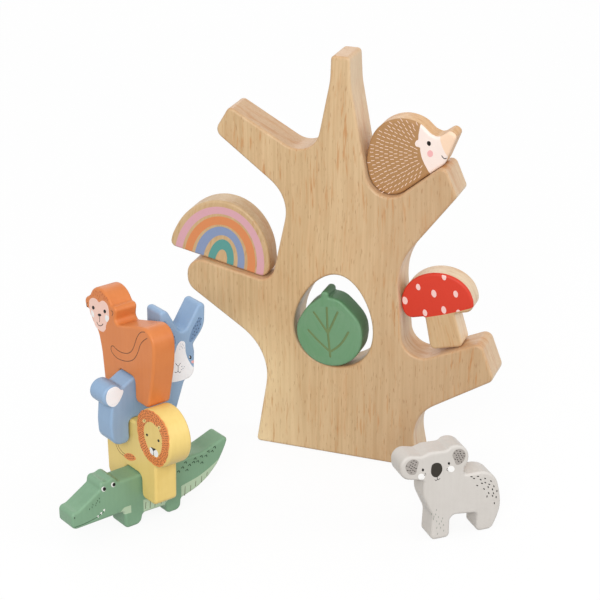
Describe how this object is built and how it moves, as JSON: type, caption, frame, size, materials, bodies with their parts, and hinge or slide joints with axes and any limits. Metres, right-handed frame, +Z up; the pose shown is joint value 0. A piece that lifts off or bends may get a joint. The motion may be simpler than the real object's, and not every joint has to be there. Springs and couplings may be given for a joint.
{
  "type": "balancing tree game",
  "caption": "Upright wooden tree board whose forks and hole hold loose cut-out animals and shapes, with notched animals that stack crosswise and balance on each other.",
  "frame": {"origin": "middle of the tree's foot, on the table", "axes": "+Z up, the tree faces -Y, +X to the right as seen from its front"},
  "size_m": [0.259, 0.1941, 0.274],
  "materials": {
    "tree_wood": "clear satin lacquer on pale hardwood",
    "leaf_paint": "satin green paint on wood",
    "rainbow_wood": "clear satin lacquer with printed bands",
    "hedgehog_wood": "printed face on clear satin lacquer",
    "mushroom_wood": "printed cap on clear satin lacquer",
    "crocodile_paint": "satin green paint on wood",
    "lion_paint": "satin yellow paint on wood",
    "rabbit_paint": "satin blue paint on wood",
    "monkey_paint": "satin orange-brown paint on wood",
    "koala_paint": "satin pale grey paint on wood"
  },
  "bodies": {
    "tree": {"tree": "tree_wood"},
    "leaf": {"leaf": "leaf_paint"},
    "rainbow": {"rainbow": "rainbow_wood"},
    "hedgehog": {"hedgehog": "hedgehog_wood"},
    "mushroom": {"mushroom": "mushroom_wood"},
    "crocodile": {"crocodile": "crocodile_paint"},
    "lion": {"lion": "lion_paint"},
    "rabbit": {"rabbit": "rabbit_paint"},
    "monkey": {"monkey": "monkey_paint"},
    "koala": {"koala": "koala_paint"}
  },
  "joints": [
    {"name": "leaf_pull", "type": "slide", "parent": "tree", "child": "leaf", "axis": [0, -0.9988, 0.0499], "range_m": [0, 0.04]},
    {"name": "rainbow_lift", "type": "slide", "parent": "tree", "child": "rainbow", "axis": [-0.5, 0, 0.866], "range_m": [0, 0.04]},
    {"name": "hedgehog_lift", "type": "slide", "parent": "tree", "child": "hedgehog", "axis": [0, 0, 1], "range_m": [0, 0.06]},
    {"name": "mushroom_lift", "type": "slide", "parent": "tree", "child": "mushroom", "axis": [0.7071, 0, 0.7071], "range_m": [0, 0.04]},
    {"name": "crocodile_lift", "type": "slide", "parent": "tree", "child": "crocodile", "axis": [0, 0, 1], "range_m": [0, 0.06]},
    {"name": "lion_lift", "type": "slide", "parent": "crocodile", "child": "lion", "axis": [0, 0, 1], "range_m": [0, 0.04]},
    {"name": "rabbit_lift", "type": "slide", "parent": "lion", "child": "rabbit", "axis": [0, 0, 1], "range_m": [0, 0.04]},
    {"name": "monkey_lift", "type": "slide", "parent": "rabbit", "child": "monkey", "axis": [0, 0, 1], "range_m": [0, 0.04]},
    {"name": "koala_lift", "type": "slide", "parent": "tree", "child": "koala", "axis": [0, 0, 1], "range_m": [0, 0.06]}
  ]
}
